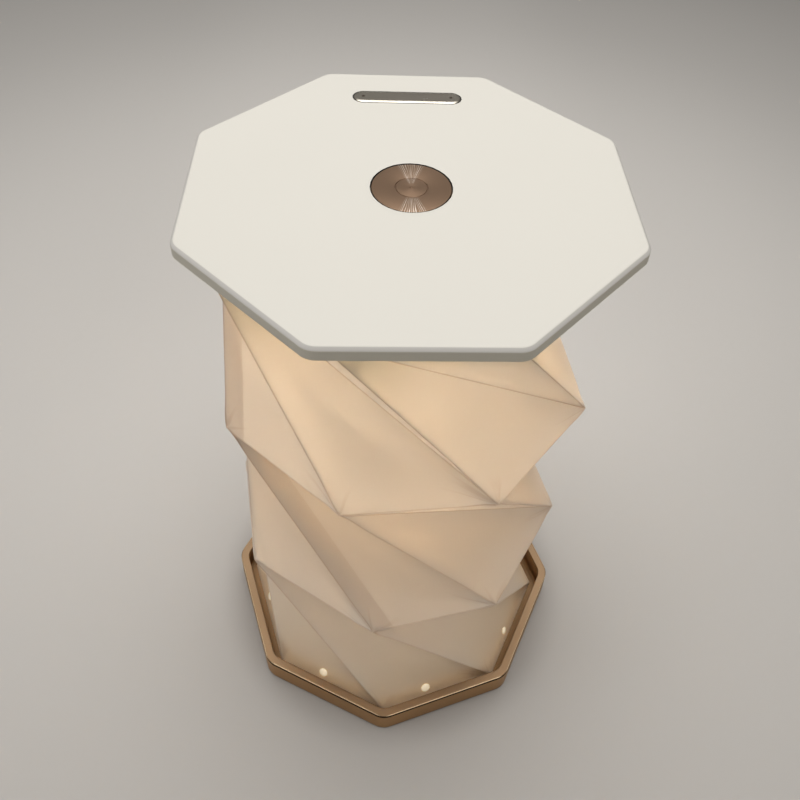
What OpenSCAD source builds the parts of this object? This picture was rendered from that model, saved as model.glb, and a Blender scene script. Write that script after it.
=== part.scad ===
// Cordless twist-fold lantern lamp: an octagonal lid with battery, light and push button,
// a folded translucent shade of three twisted tiers, and an octagonal tray that it folds into.
// Millimetres, +Z up, origin at the middle of the underside. The lid's front flat faces -Y.

/* [Outline] */
// Width of the lid and of the tray, from flat to flat
across_flats = 170; // [150:1:190]
// Height of the tray with its rim
base_h = 16; // [15:0.5:20]

/* [Shade] */
// Turn of the top tier
twist_top = 48.65; // [46:0.1:60]
// Turn of the middle tier
twist_mid = 53.47; // [46:0.1:60]
// Turn of the bottom tier
twist_low = 51.03; // [46:0.1:60]
// Wall of the shade, measured towards the axis at its corners
shade_wall = 0.7; // [0.5:0.1:1]
// Room between the corners of the shade and the corners of the tray's mouth
shade_clear = 4; // [2:0.5:8]
// Gap between an edge of the shade and what it stands under or on
edge_gap = 0.3; // [0.2:0.1:0.5]

/* [Shade hems and rivets] */
// Wall of the two hem rings
hem_wall = 1.2; // [1:0.1:1.6]
// Height of the lower hem ring
low_hem_h = 9; // [8.5:0.5:9.5]
// Height of the upper hem ring
top_hem_h = 4; // [3:0.5:4]
// Width of the flat foot of a hem ring
hem_foot = 7; // [5:0.5:9]
// Gap between the shade and a hem ring
hem_gap = 0.3; // [0.2:0.05:0.4]
// Width of a rivet's head
rivet_head_d = 4.7; // [4:0.1:5.6]
// Height of a rivet's domed head
rivet_head_h = 1; // [0.8:0.1:1.4]
// Width of a rivet's shank
rivet_d = 2.2; // [2:0.1:3]
// How far up the facet a rivet sits from the shade's lower edge
rivet_up = 6; // [5.5:0.1:6.2]
// How far a rivet sits to the left of the middle of its side
rivet_shift = 6.8; // [0:0.1:15]

/* [Lid] */
// Thickness of the lid
plate_t = 5.8; // [5.6:0.1:7]
// Corner radius of the lid
plate_corner = 8; // [6:0.5:12]
// Width of the lid's chamfered upper edge
plate_edge = 1.2; // [0.6:0.1:2]
// Thickness of the lid's top skin
plate_skin = 2; // [1.8:0.1:2.4]
// Width of the lid's border, outside the cover
plate_wall = 5; // [4.8:0.1:6]
// Width of the ledge that the cover lies on
ledge_w = 1.5; // [1:0.1:3]
// Thickness of the cover under the lid
cover_t = 1.6; // [1.4:0.1:1.7]
// Thickness of a stiffening rib
rib_t = 1.2; // [0.8:0.1:2]
// Distance of the cover's screws from the axis
cover_screw_r = 60; // [52:1:64]
// Clearance round a piece that sits in a recess
fit_gap = 0.15; // [0.1:0.01:0.25]

/* [Button] */
// Width of the button's face
button_d = 30.6; // [28:0.1:34]
// Gap round the button's face
button_gap = 0.35; // [0.25:0.05:0.6]
// How far the button travels
button_travel = 0.6; // [0.4:0.1:0.7]
// Width of the turned circle in the button's face
button_circle_d = 12.2; // [8:0.1:20]
// How much wider the button's collar is than its face
button_collar = 3; // [2:0.1:4]
// Thickness of the button's collar
collar_t = 0.7; // [0.6:0.1:0.8]
// Width of the button's stem
stem_d = 6; // [4:0.1:8]
// Clearance round the stem and round the switch's plunger
slide_gap = 0.05; // [0.03:0.01:0.08]

/* [Name plate] */
// Length of the name plate
name_l = 46; // [30:0.5:50]
// Width of the name plate
name_w = 8.6; // [7:0.1:12]
// Thickness of the name plate
name_t = 0.9; // [0.7:0.1:1]
// Depth of its recess in the lid
name_recess = 0.5; // [0.3:0.1:0.6]
// Distance of the name plate's middle from the lid's back edge
name_in = 20; // [18:0.5:26]
// Width of the two pins that hold the name plate
name_pin_d = 1.3; // [1:0.1:1.8]
// Distance of a pin from the end of the name plate
name_pin_in = 4.2; // [3.5:0.1:6]

/* [Light hub] */
// Outer width of the light hub
hub_d = 58; // [57.5:0.5:60]
// Wall of the light hub
hub_wall = 1.6; // [1.2:0.1:1.8]
// Length of the battery
battery_l = 42; // [36:0.5:43]
// Width of the battery
battery_w = 26; // [22:0.5:27]
// Thickness of the battery
battery_t = 4.5; // [4:0.1:4.6]
// Thickness of the control board
board_t = 1.2; // [0.8:0.1:1.2]
// Thickness of the light board
led_board_t = 1; // [0.8:0.1:1]
// Height of a light chip
led_t = 0.8; // [0.6:0.1:0.8]
// Number of light chips
led_count = 12; // [8:1:18]
// Distance of the light chips from the axis
led_r = 18; // [12:0.5:22]
// Thickness of the diffuser
lens_t = 1.6; // [1.2:0.1:1.6]

/* [Charging socket] */
// Width of the socket's shell
socket_w = 8.94; // [8.94:0.01:9]
// Height of the socket's shell
socket_h = 3.26; // [3.2:0.01:3.3]
// Depth of the socket's shell
socket_l = 7.3; // [6.5:0.1:8]

/* [Tray] */
// Corner radius of the tray and its rim
base_corner = 4.6; // [2.5:0.1:6]
// Width of the rim
rim_w = 4.4; // [4.2:0.1:5.5]
// Thickness of the rim
rim_t = 2.6; // [2:0.1:3.2]
// Radius of the rim's edges
rim_edge = 0.5; // [0.3:0.1:0.8]
// How far the rim stands out over the tray's wall on the inside
rim_lip = 0.4; // [0.2:0.1:0.6]
// Height of the shadow groove under the rim
groove_h = 0.6; // [0.4:0.1:1]
// Depth of the shadow groove under the rim
groove_d = 0.8; // [0.4:0.1:1]
// Thickness of the tray's floor
floor_t = 1.5; // [1.4:0.1:1.8]
// Thickness of the rubber pad underneath
pad_t = 1; // [0.8:0.1:1.2]
// How deep the pad is let into the tray
pad_recess = 0.3; // [0.2:0.1:0.4]
// Distance of the pad from the tray's outer wall
pad_inset = 5; // [4:0.5:10]
// Thickness of the steel weight plate
weight_t = 2; // [1.6:0.1:2.2]
// Distance of the weight plate's screws from the axis
weight_screw_r = 52; // [40:1:58]
// Width of the hole in the middle of the weight plate
weight_hole_d = 12; // [8:1:20]

/* [Magnets] */
// Width of a magnet
magnet_d = 3; // [2.6:0.1:3.2]
// Height of a magnet
magnet_h = 2.5; // [2:0.1:3]

/* [Hidden] */
$fn = 72;

// The octagon
sides = 8;
step = 360 / sides;
half = step / 2;
flat_factor = cos(half);
corner_r = across_flats / 2 / flat_factor;
lid_turn = half;

// The folded tiers: each tier is the same strip of creased film, so its height follows its turn
rim_mouth_r = corner_r - rim_w / flat_factor;
shade_r = rim_mouth_r - shade_clear;
twists = [twist_top, twist_mid, twist_low];
function tier_height(turn) = shade_r * sqrt(2 - 4 * pow(sin(turn / 2), 2));
function tier_lean(turn) = atan((cos(half) - cos(turn + half)) * shade_r / tier_height(turn));
function sum_to(list, n) = n <= 0 ? 0 : list[n - 1] + sum_to(list, n - 1);
tier_heights = [for (turn = twists) tier_height(turn)];
shade_h = sum_to(tier_heights, len(twists));
base_turn = lid_turn + sum_to(twists, len(twists));
low_lean = tier_lean(twist_low);
top_lean = tier_lean(twist_top);
rivet_hole_l = 8;

// Heights of the tray
tray_z = pad_t - pad_recess;
floor_z = tray_z + floor_t;
rim_z = base_h - rim_t;
shade_z = floor_z + edge_gap;

// Heights of the lid and of the stack in the light hub
lid_z = shade_z + shade_h + edge_gap;
cover_z = lid_z + cover_t;
skin_z = lid_z + plate_t - plate_skin;
top_z = lid_z + plate_t;
board_drop = 1.2;
battery_gap = 0.2;
lens_gap = 0.6;
board_z = lid_z - board_drop - board_t;
battery_z = board_z - battery_gap - battery_t;
led_board_z = battery_z - led_board_t;
lens_z = led_board_z - led_t - lens_gap - lens_t;
hub_r = hub_d / 2;
hub_inner_r = hub_r - hub_wall;
boss_d = 5;
boss_r = hub_inner_r - boss_d / 2 + 0.3;
boss_neck_d = 4.2;
boss_turns = [60, 120, 240, 300];
opening_r = boss_r - boss_d / 2;

// Heights of the button
face_sink = 0.1;
collar_gap = 0.2;
collar_top = skin_z - collar_gap;
collar_z = collar_top - collar_t;
seat_floor_t = 1;
seat_wall = 1.6;
seat_floor_z = collar_z - button_travel - 0.1 - seat_floor_t;
seat_r = button_d / 2 + button_collar / 2 + 0.4 + seat_wall;
switch_h = 1.6;
switch_w = 6;
switch_top = lid_z - board_drop + switch_h;
stem_z = switch_top + button_travel + 0.1;
plunger_d = 3;
plunger_z = switch_top - 0.6;

// Charging socket, its board and the ribbon
socket_z = lid_z + plate_t / 2;
socket_back = across_flats / 2 - socket_l;
charge_w = 16;
charge_t = 1;
charge_end = across_flats / 2 - plate_wall - ledge_w - 0.2;
charge_start = charge_end - 12;
ribbon_w = 6;
ribbon_t = 0.3;

// Screws
screw_d = 2;
screw_head_d = 3.6;
screw_head_h = 1;
screw_gap = 0.1;

// Corner magnets sit just inside the tray's wall, and over them in the lid
magnet_r = rim_mouth_r + magnet_d / 2 + 0.2;
magnet_corners = [0, 2, 4, 6];

// Place of the name plate
name_y = across_flats / 2 - name_in;

// Colours
white_lid = [0.93, 0.92, 0.89];
bronze = [0.66, 0.52, 0.38];
bronze_dark = [0.50, 0.40, 0.31];
film = [0.93, 0.83, 0.69];
steel = [0.72, 0.72, 0.72];
rubber_black = [0.08, 0.08, 0.08];
board_green = [0.10, 0.32, 0.20];
plastic_white = [0.90, 0.90, 0.88];
opal = [0.97, 0.95, 0.90];

// An octagon whose corners are arcs of a given radius, seven points to an arc
function outline(r, corner) = let (tip = r - corner / flat_factor)
    [for (k = [0:sides - 1], i = [-3:3])
        let (middle = k * step + half, a = middle + i * half / 3)
        [tip * cos(middle) + corner * cos(a), tip * sin(middle) + corner * sin(a)]];

module soft_octagon(r, corner) {
    polygon(outline(r, corner));
}

// A slab with that outline, whose edge follows a list of [inset, height] points from below to above
module edged_slab(r, corner, edge) {
    rings = [for (e = edge) [for (p = outline(r - e[0] / flat_factor, corner - e[0])) [p[0], p[1], e[1]]]];
    n = len(rings[0]);
    last = (len(edge) - 1) * n;
    wall = [for (i = [0:len(edge) - 2], j = [0:n - 1]) let (next = (j + 1) % n)
        [i * n + n + j, i * n + n + next, i * n + next, i * n + j]];
    polyhedron([for (one = rings) each one],
        concat(wall, [[for (j = [0:n - 1]) j]], [[for (j = [n - 1:-1:0]) last + j]]));
}

// The points of a quarter-round edge at the top of a slab
function round_edge(radius, top) =
    [for (a = [0:15:90]) [radius * (1 - cos(a)), top - radius * (1 - sin(a))]];

// A straight-sided bar with round ends
module pill(length, width) {
    for (s = [-1, 1]) translate([s * (length - width) / 2, 0]) circle(width / 2);
    square([length - width, width], center = true);
}

module at_turns(turns, radius) {
    for (a = turns) rotate(a) translate([radius, 0, 0]) children();
}

module at_corners(radius) {
    at_turns([for (k = magnet_corners) half + k * step], radius) children();
}

// A screw with a countersunk head, its flat face at z = 0 and its shank running up
module screw_up(length) {
    cylinder(d1 = screw_head_d, d2 = screw_d, h = screw_head_h);
    cylinder(d = screw_d, h = length);
}

// Places a rivet on a lower facet: x points out of the facet and z up its slope
module at_rivets() {
    for (k = [0:sides - 1]) rotate(base_turn + half + k * step)
        translate([shade_r * flat_factor, 0, shade_z]) rotate([0, -low_lean, 0])
            translate([0, -rivet_shift, rivet_up]) children();
}

module rivet_holes() {
    at_rivets() rotate([0, 90, 0]) cylinder(d = rivet_d + 0.1, h = rivet_hole_l, center = true);
}

// Tray

module base_pad() color(rubber_black)
    rotate(base_turn + half) linear_extrude(pad_t)
        soft_octagon(corner_r - (pad_inset + fit_gap) / flat_factor, base_corner);

module base_tray() {
    wall = rim_w - rim_lip;
    foot = 0.6;
    color(bronze) rotate(base_turn + half) difference() {
        edged_slab(corner_r, base_corner, [
            [foot, tray_z], [0, tray_z + foot], [0, rim_z - groove_h],
            [groove_d, rim_z - groove_h], [groove_d, rim_z]]);
        translate([0, 0, floor_z]) linear_extrude(base_h)
            soft_octagon(corner_r - wall / flat_factor, base_corner + 1);
        translate([0, 0, tray_z - pad_t]) linear_extrude(pad_t + pad_recess)
            soft_octagon(corner_r - pad_inset / flat_factor, base_corner);
        at_corners(magnet_r) translate([0, 0, rim_z - magnet_h]) cylinder(d = magnet_d + 0.1, h = base_h);
        at_turns([0:90:270], weight_screw_r) translate([0, 0, pad_t]) {
            cylinder(d1 = screw_head_d + screw_gap, d2 = screw_d + screw_gap, h = screw_head_h);
            translate([0, 0, -pad_t]) cylinder(d = screw_d + screw_gap, h = base_h);
        }
    }
}

module base_rim() color(bronze)
    rotate(base_turn + half) difference() {
        edged_slab(corner_r, base_corner, concat([[0.2, rim_z], [0, rim_z + 0.2]],
            round_edge(rim_edge, base_h)));
        translate([0, 0, rim_z - base_h]) linear_extrude(3 * base_h)
            soft_octagon(rim_mouth_r, base_corner + 1);
    }

module base_magnets() color(steel)
    rotate(base_turn + half) at_corners(magnet_r)
        translate([0, 0, rim_z - magnet_h]) cylinder(d = magnet_d, h = magnet_h - 0.1);

module weight_plate() color(white_lid)
    difference() {
        translate([0, 0, floor_z]) rotate(base_turn)
            cylinder(r = shade_r - shade_wall - hem_foot - 1, h = weight_t, $fn = sides);
        rotate(base_turn + half) at_turns([0:90:270], weight_screw_r)
            translate([0, 0, floor_z - 1]) cylinder(d = screw_d + screw_gap, h = weight_t + 2);
        translate([0, 0, floor_z - 1]) cylinder(d = weight_hole_d, h = weight_t + 2);
    }

module weight_screws() color(steel)
    rotate(base_turn + half) at_turns([0:90:270], weight_screw_r)
        translate([0, 0, pad_t]) screw_up(floor_z - pad_t + weight_t - 0.2);

// Shade

// The section of a hem ring, from the foot up: the band leans like the facet it backs
module hem_section(height, lean) {
    outer = shade_r - shade_wall - hem_gap;
    shift = height * tan(lean) / flat_factor;
    skew = 1 / flat_factor;
    polygon([
        [outer, 0], [outer - shift, height], [outer - shift - hem_wall * skew, height],
        [outer - hem_wall * skew - tan(lean) * hem_wall / flat_factor, hem_wall],
        [outer - hem_foot, hem_wall], [outer - hem_foot, 0]]);
}

module lower_hem_ring() color(plastic_white)
    difference() {
        translate([0, 0, floor_z]) rotate(base_turn)
            rotate_extrude($fn = sides) hem_section(low_hem_h, low_lean);
        rivet_holes();
    }

module upper_hem_ring() color(plastic_white)
    translate([0, 0, lid_z]) rotate(lid_turn) mirror([0, 0, 1])
        rotate_extrude($fn = sides) hem_section(top_hem_h, top_lean);

// A rivet: a domed head outside, a shank through the shade and the hem, a flared tail inside
module shade_rivets() color(opal) {
    wall_in = (shade_wall + hem_gap) * flat_factor + edge_gap * tan(low_lean) + hem_wall;
    grip = wall_in * cos(low_lean) + 0.1;
    tail_h = 0.5;
    dome_r = (pow(rivet_head_d / 2, 2) + pow(rivet_head_h, 2)) / (2 * rivet_head_h);
    at_rivets() rotate([0, 90, 0]) {
        rotate_extrude() polygon(concat([[0, 0.1]], [for (i = [6:-1:1])
            let (x = rivet_head_d / 12 * i)
            [x, sqrt(dome_r * dome_r - x * x) + rivet_head_h - dome_r + 0.1]],
            [[0, rivet_head_h + 0.1]]));
        translate([0, 0, -grip]) cylinder(d = rivet_d, h = grip + 0.2);
        translate([0, 0, -grip - tail_h]) cylinder(d1 = rivet_d + 0.4, d2 = rivet_d + 1.4, h = tail_h);
    }
}

// The shade: rings of eight corners, each ring turned against the one above. Between two rings
// a ridge runs down from each corner to the lower corner that lies one tier's turn on, and a
// valley to the corner after it. The inner skin follows one wall closer to the axis.
function ring(radius, level) = let (turn = lid_turn + sum_to(twists, level),
    z = shade_z + shade_h - sum_to(tier_heights, level))
    [for (k = [0:sides - 1]) [radius * cos(turn + k * step), radius * sin(turn + k * step), z]];

module shade() {
    levels = len(twists);
    points = concat([for (level = [0:levels]) each ring(shade_r, level)],
        [for (level = [0:levels]) each ring(shade_r - shade_wall, level)]);
    inner = sides * (levels + 1);
    function at(level, k) = level * sides + k % sides;
    skin = [for (level = [0:levels - 1], k = [0:sides - 1]) each [
        [at(level, k), at(level + 1, k + 1), at(level + 1, k)],
        [at(level, k), at(level, k + 1), at(level + 1, k + 1)]]];
    back = [for (face = skin) [face[2] + inner, face[1] + inner, face[0] + inner]];
    top = [for (k = [0:sides - 1]) each [
        [at(0, k + 1), at(0, k), at(0, k) + inner],
        [at(0, k + 1), at(0, k) + inner, at(0, k + 1) + inner]]];
    foot = [for (k = [0:sides - 1]) each [
        [at(levels, k), at(levels, k + 1), at(levels, k) + inner],
        [at(levels, k + 1), at(levels, k + 1) + inner, at(levels, k) + inner]]];
    color(film) difference() {
        polyhedron(points, concat(skin, back, top, foot));
        rivet_holes();
    }
}

// Lid

module top_plate() {
    border = plate_wall / flat_factor;
    cavity_r = corner_r - border - ledge_w / flat_factor;
    cavity_corner = plate_corner - plate_wall / 2;
    edge = [[0.4, lid_z], [0, lid_z + 0.4], [0, top_z - plate_edge - 0.1], [0.07, top_z - plate_edge],
        [plate_edge, top_z - 0.07], [plate_edge + 0.1, top_z]];
    color(white_lid) difference() {
        edged_slab(corner_r, plate_corner, edge);
        translate([0, 0, lid_z - 1]) linear_extrude(cover_t + 1)
            soft_octagon(corner_r - border, cavity_corner);
        difference() {
            translate([0, 0, lid_z]) linear_extrude(plate_t - plate_skin)
                soft_octagon(cavity_r, cavity_corner);
            for (k = [0:sides - 1]) rotate(half + k * step) {
                translate([seat_r + 12, -rib_t / 2, cover_z + 0.1]) cube([corner_r, rib_t, plate_t]);
                translate([cover_screw_r, 0, cover_z]) cylinder(d = 5, h = plate_t);
            }
        }
        at_turns([for (k = [0:sides - 1]) half + k * step], cover_screw_r)
            translate([0, 0, lid_z]) cylinder(d = screw_d + screw_gap, h = plate_t - plate_skin + 1);
        translate([0, 0, lid_z]) cylinder(r = button_d / 2 + button_gap, h = 2 * plate_t);
        translate([0, name_y, top_z - name_recess]) linear_extrude(plate_t)
            pill(name_l + 2 * fit_gap, name_w + 2 * fit_gap);
        for (s = [-1, 1]) translate([s * (name_l / 2 - name_pin_in), name_y, skin_z - 1])
            cylinder(d = name_pin_d + 0.1, h = 2 * plate_t);
        socket_cut(2 * fit_gap);
        at_corners(magnet_r) translate([0, 0, lid_z - 1]) cylinder(d = magnet_d + 0.1, h = magnet_h + 1);
    }
}

module head_magnets() color(steel)
    at_corners(magnet_r) translate([0, 0, lid_z + 0.1]) cylinder(d = magnet_d, h = magnet_h - 0.1);

module plate_cover() color(white_lid)
    difference() {
        translate([0, 0, lid_z]) linear_extrude(cover_t)
            soft_octagon(corner_r - (plate_wall + fit_gap) / flat_factor, plate_corner - plate_wall / 2);
        translate([0, 0, lid_z - 1]) cylinder(r = opening_r, h = plate_t);
        at_turns([for (k = [0:sides - 1]) half + k * step], cover_screw_r) translate([0, 0, lid_z]) {
            cylinder(d1 = screw_head_d + screw_gap, d2 = screw_d + screw_gap, h = screw_head_h);
            translate([0, 0, -1]) cylinder(d = screw_d + screw_gap, h = plate_t);
        }
        at_turns(boss_turns, boss_r) translate([0, 0, lid_z - 1]) cylinder(d = screw_d + screw_gap, h = plate_t);
        socket_cut(2 * fit_gap);
    }

module cover_screws() color(steel)
    at_turns([for (k = [0:sides - 1]) half + k * step], cover_screw_r)
        translate([0, 0, lid_z]) screw_up(plate_t - plate_skin);

module name_plate() color(steel)
    translate([0, name_y, top_z - name_recess]) difference() {
        union() {
            linear_extrude(name_t - 0.3) pill(name_l, name_w);
            for (i = [1:3]) linear_extrude(name_t - 0.3 + 0.1 * i) pill(name_l - 0.3 * i, name_w - 0.3 * i);
        }
        for (s = [-1, 1]) translate([s * (name_l / 2 - name_pin_in), 0, -1])
            cylinder(d = name_pin_d + 0.1, h = 2 * name_t + 2);
    }

module name_plate_pins() color(bronze_dark)
    for (s = [-1, 1]) translate([s * (name_l / 2 - name_pin_in), name_y, skin_z + 0.2])
        cylinder(d = name_pin_d, h = plate_skin - name_recess + name_t - 0.2 + 0.05);

// Charging socket, its board and the ribbon to the light hub

module socket_outline(room) {
    translate([0, socket_z]) pill(socket_w + room, socket_h + room);
}

module socket_cut(room) {
    translate([0, across_flats / 2 + 1, 0]) rotate([90, 0, 0])
        linear_extrude(socket_l + 1 + room) socket_outline(room);
}

module usb_socket() color(steel) {
    shell = 0.3;
    translate([0, across_flats / 2 - 0.2, 0]) rotate([90, 0, 0]) {
        linear_extrude(socket_l - 0.2) difference() {
            socket_outline(0);
            socket_outline(-2 * shell);
        }
        translate([0, 0, socket_l - 0.2 - shell]) linear_extrude(shell) socket_outline(0);
        translate([-3.35, socket_z - 0.35, 0.8]) cube([6.7, 0.7, socket_l - 1 - shell]);
    }
}

module charge_board() color(board_green)
    difference() {
        translate([-charge_w / 2, charge_start, cover_z]) cube([charge_w, charge_end - charge_start, charge_t]);
        translate([-socket_w / 2 - fit_gap, socket_back - fit_gap, lid_z])
            cube([socket_w + 2 * fit_gap, socket_l, plate_t]);
    }

module ribbon_cable() {
    drop = opening_r - ribbon_t - 0.5;
    foot = 3;
    floor_level = lid_z - board_drop;
    color("khaki") translate([-ribbon_w / 2, 0, 0]) {
        translate([0, drop, cover_z]) cube([ribbon_w, charge_start - drop, ribbon_t]);
        translate([0, drop, floor_level]) cube([ribbon_w, ribbon_t, cover_z - floor_level + ribbon_t]);
        translate([0, drop - foot, floor_level]) cube([ribbon_w, foot, ribbon_t]);
    }
}

// Light hub

module hub_cup() {
    ledge = 1.6;
    color(plastic_white) difference() {
        union() {
            difference() {
                translate([0, 0, lens_z]) cylinder(r = hub_r, h = lid_z - lens_z);
                translate([0, 0, led_board_z]) cylinder(r = hub_inner_r, h = lid_z);
                translate([0, 0, lens_z - 1]) cylinder(r = hub_inner_r, h = lens_t + lens_gap / 2 + 1);
                translate([0, 0, lens_z]) cylinder(r = hub_inner_r - ledge, h = lid_z);
            }
            at_turns(boss_turns, boss_r) translate([0, 0, led_board_z]) {
                cylinder(d = boss_d, h = board_z - led_board_z);
                cylinder(d = boss_neck_d, h = lid_z - led_board_z);
            }
        }
        at_turns(boss_turns, boss_r) translate([0, 0, battery_z + 1])
            cylinder(d = screw_d + screw_gap, h = lid_z - battery_z);
        translate([0, 0, lens_z + lens_t / 2 - 0.5]) difference() {
            cylinder(r = hub_inner_r + 0.5, h = 1);
            translate([0, 0, -1]) cylinder(r = hub_inner_r - 1, h = 3);
        }
    }
}

module hub_screws() color(steel)
    at_turns(boss_turns, boss_r) {
        translate([0, 0, cover_z]) cylinder(d = screw_head_d, h = screw_head_h);
        translate([0, 0, battery_z + 1.2]) cylinder(d = screw_d, h = cover_z - battery_z - 1.2);
    }

module control_board() color(board_green)
    translate([0, 0, board_z]) difference() {
        cylinder(r = hub_inner_r - 0.3, h = board_t);
        at_turns(boss_turns, boss_r) translate([0, 0, -1]) cylinder(d = boss_neck_d + 0.2, h = board_t + 2);
    }

module tact_switch() color(rubber_black)
    translate([0, 0, lid_z - board_drop]) difference() {
        translate([-switch_w / 2, -switch_w / 2, 0]) cube([switch_w, switch_w, switch_h]);
        translate([0, 0, 0.3]) cylinder(d = plunger_d + 2 * slide_gap, h = switch_h);
    }

module battery() color([0.75, 0.77, 0.80])
    translate([0, 0, battery_z]) {
        linear_extrude(battery_t) {
            square([battery_l - 3, battery_w], center = true);
            square([battery_l, battery_w - 3], center = true);
            for (i = [-1, 1], j = [-1, 1])
                translate([i * (battery_l / 2 - 1.5), j * (battery_w / 2 - 1.5)]) circle(1.5);
        }
    }

module led_board() color(plastic_white)
    translate([0, 0, led_board_z]) difference() {
        cylinder(r = hub_inner_r - 0.2, h = led_board_t);
        translate([0, 0, -1]) cylinder(d = 5, h = led_board_t + 2);
        at_turns(boss_turns, boss_r) translate([0, 0, -1]) cylinder(d = boss_d + 0.3, h = led_board_t + 2);
    }

module leds() color([0.96, 0.85, 0.45])
    for (k = [0:led_count - 1]) rotate(k * 360 / led_count)
        translate([led_r - 1.4, -1.75, led_board_z - led_t]) cube([2.8, 3.5, led_t]);

// The diffuser clips into the hub's groove with a low bead
module diffuser() {
    lens_r = hub_inner_r - 0.3;
    bead = 0.4;
    color(opal) translate([0, 0, lens_z]) rotate_extrude() polygon([
        [0, 0.2], [lens_r - 6, 0.2], [lens_r - 1.5, 0], [lens_r, 0],
        [lens_r, lens_t / 2 - 0.3], [lens_r + bead, lens_t / 2], [lens_r, lens_t / 2 + 0.3],
        [lens_r, lens_t], [lens_r - 1.5, lens_t], [lens_r - 3, lens_t - 0.3], [0, lens_t - 0.3]]);
}

// Button

module button_seat() color(rubber_black)
    difference() {
        translate([0, 0, seat_floor_z]) cylinder(r = seat_r, h = skin_z - seat_floor_z);
        translate([0, 0, seat_floor_z + seat_floor_t]) cylinder(r = seat_r - seat_wall, h = plate_t);
        translate([0, 0, seat_floor_z - 1]) cylinder(d = stem_d + 2 * slide_gap, h = plate_t);
    }

module button_disc() {
    face = top_z - face_sink;
    bevel = 0.35;
    groove = 0.25;
    radius = button_d / 2;
    circle_r = button_circle_d / 2;
    color(bronze_dark) rotate_extrude() polygon([
        [0, stem_z], [stem_d / 2, stem_z], [stem_d / 2, collar_z], [radius + button_collar / 2, collar_z],
        [radius + button_collar / 2, collar_top], [radius, collar_top], [radius, face - bevel],
        [radius - bevel, face], [circle_r + groove, face], [circle_r, face - groove],
        [circle_r - groove, face - groove / 2], [0, face - groove / 2]]);
}

module switch_plunger() color([0.85, 0.2, 0.15])
    translate([0, 0, plunger_z]) cylinder(d = plunger_d, h = stem_z - plunger_z);

base_pad();
base_tray();
weight_plate();
weight_screws();
base_magnets();
base_rim();
lower_hem_ring();
shade_rivets();
shade();
upper_hem_ring();
plate_cover();
cover_screws();
top_plate();
head_magnets();
name_plate();
name_plate_pins();
charge_board();
usb_socket();
ribbon_cable();
hub_cup();
hub_screws();
control_board();
tact_switch();
battery();
led_board();
leds();
button_seat();
diffuser();
button_disc();
switch_plunger();
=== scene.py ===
from math import atan2, cos, pi, radians, sin, sqrt

import bpy
import numpy as np
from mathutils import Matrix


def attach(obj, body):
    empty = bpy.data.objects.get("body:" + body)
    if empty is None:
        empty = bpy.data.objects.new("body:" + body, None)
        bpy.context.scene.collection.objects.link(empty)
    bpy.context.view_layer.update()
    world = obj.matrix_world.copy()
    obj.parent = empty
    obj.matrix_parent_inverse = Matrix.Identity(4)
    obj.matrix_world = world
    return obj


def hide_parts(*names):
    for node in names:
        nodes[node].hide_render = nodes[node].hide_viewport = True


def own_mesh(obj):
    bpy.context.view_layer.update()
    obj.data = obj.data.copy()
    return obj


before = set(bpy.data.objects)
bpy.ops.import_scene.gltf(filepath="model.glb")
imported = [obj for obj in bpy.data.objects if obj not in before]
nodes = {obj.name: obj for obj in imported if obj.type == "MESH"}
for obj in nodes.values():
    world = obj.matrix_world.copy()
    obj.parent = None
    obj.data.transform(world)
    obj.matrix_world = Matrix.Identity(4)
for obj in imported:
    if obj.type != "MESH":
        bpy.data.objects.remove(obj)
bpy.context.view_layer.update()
mm = 0.001
sector = 45.0   # degrees from one corner of an octagon to the next
print("frame loaded:", len(nodes), "nodes")


# Shader bench

class Signal:
    # A shader socket that can stand in a formula: each operator adds one Math node.
    def __init__(self, finish, socket):
        self.finish, self.socket = finish, socket

    def math(self, operation, *values):
        return self.finish.add("ShaderNodeMath", {"operation": operation}, dict(enumerate(values)))

    def __add__(self, other):
        return self.math("ADD", self, other)

    def __radd__(self, other):
        return self.math("ADD", other, self)

    def __sub__(self, other):
        return self.math("SUBTRACT", self, other)

    def __rsub__(self, other):
        return self.math("SUBTRACT", other, self)

    def __mul__(self, other):
        return self.math("MULTIPLY", self, other)

    def __truediv__(self, other):
        return self.math("DIVIDE", self, other)

    def __pow__(self, other):
        return self.math("POWER", self, other)

    def __abs__(self):
        return self.math("ABSOLUTE", self)

    def __neg__(self):
        return self.math("MULTIPLY", self, -1.0)

    def least(self, other):
        return self.math("MINIMUM", self, other)

    def fraction(self):
        return self.math("FRACT", self)

    def whole(self):
        return self.math("ROUND", self)

    # The angle whose tangent is this over other, in radians
    def angleOver(self, other):
        return self.math("ARCTAN2", self, other)

    # 0 below low, 1 above high, an eased step between them
    def rise(self, low, high):
        return self.finish.add("ShaderNodeMapRange", {"interpolation_type": "SMOOTHSTEP"},
                               {"Value": self, "From Min": low, "From Max": high})

    def fall(self, low, high):
        return 1 - self.rise(low, high)


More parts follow.
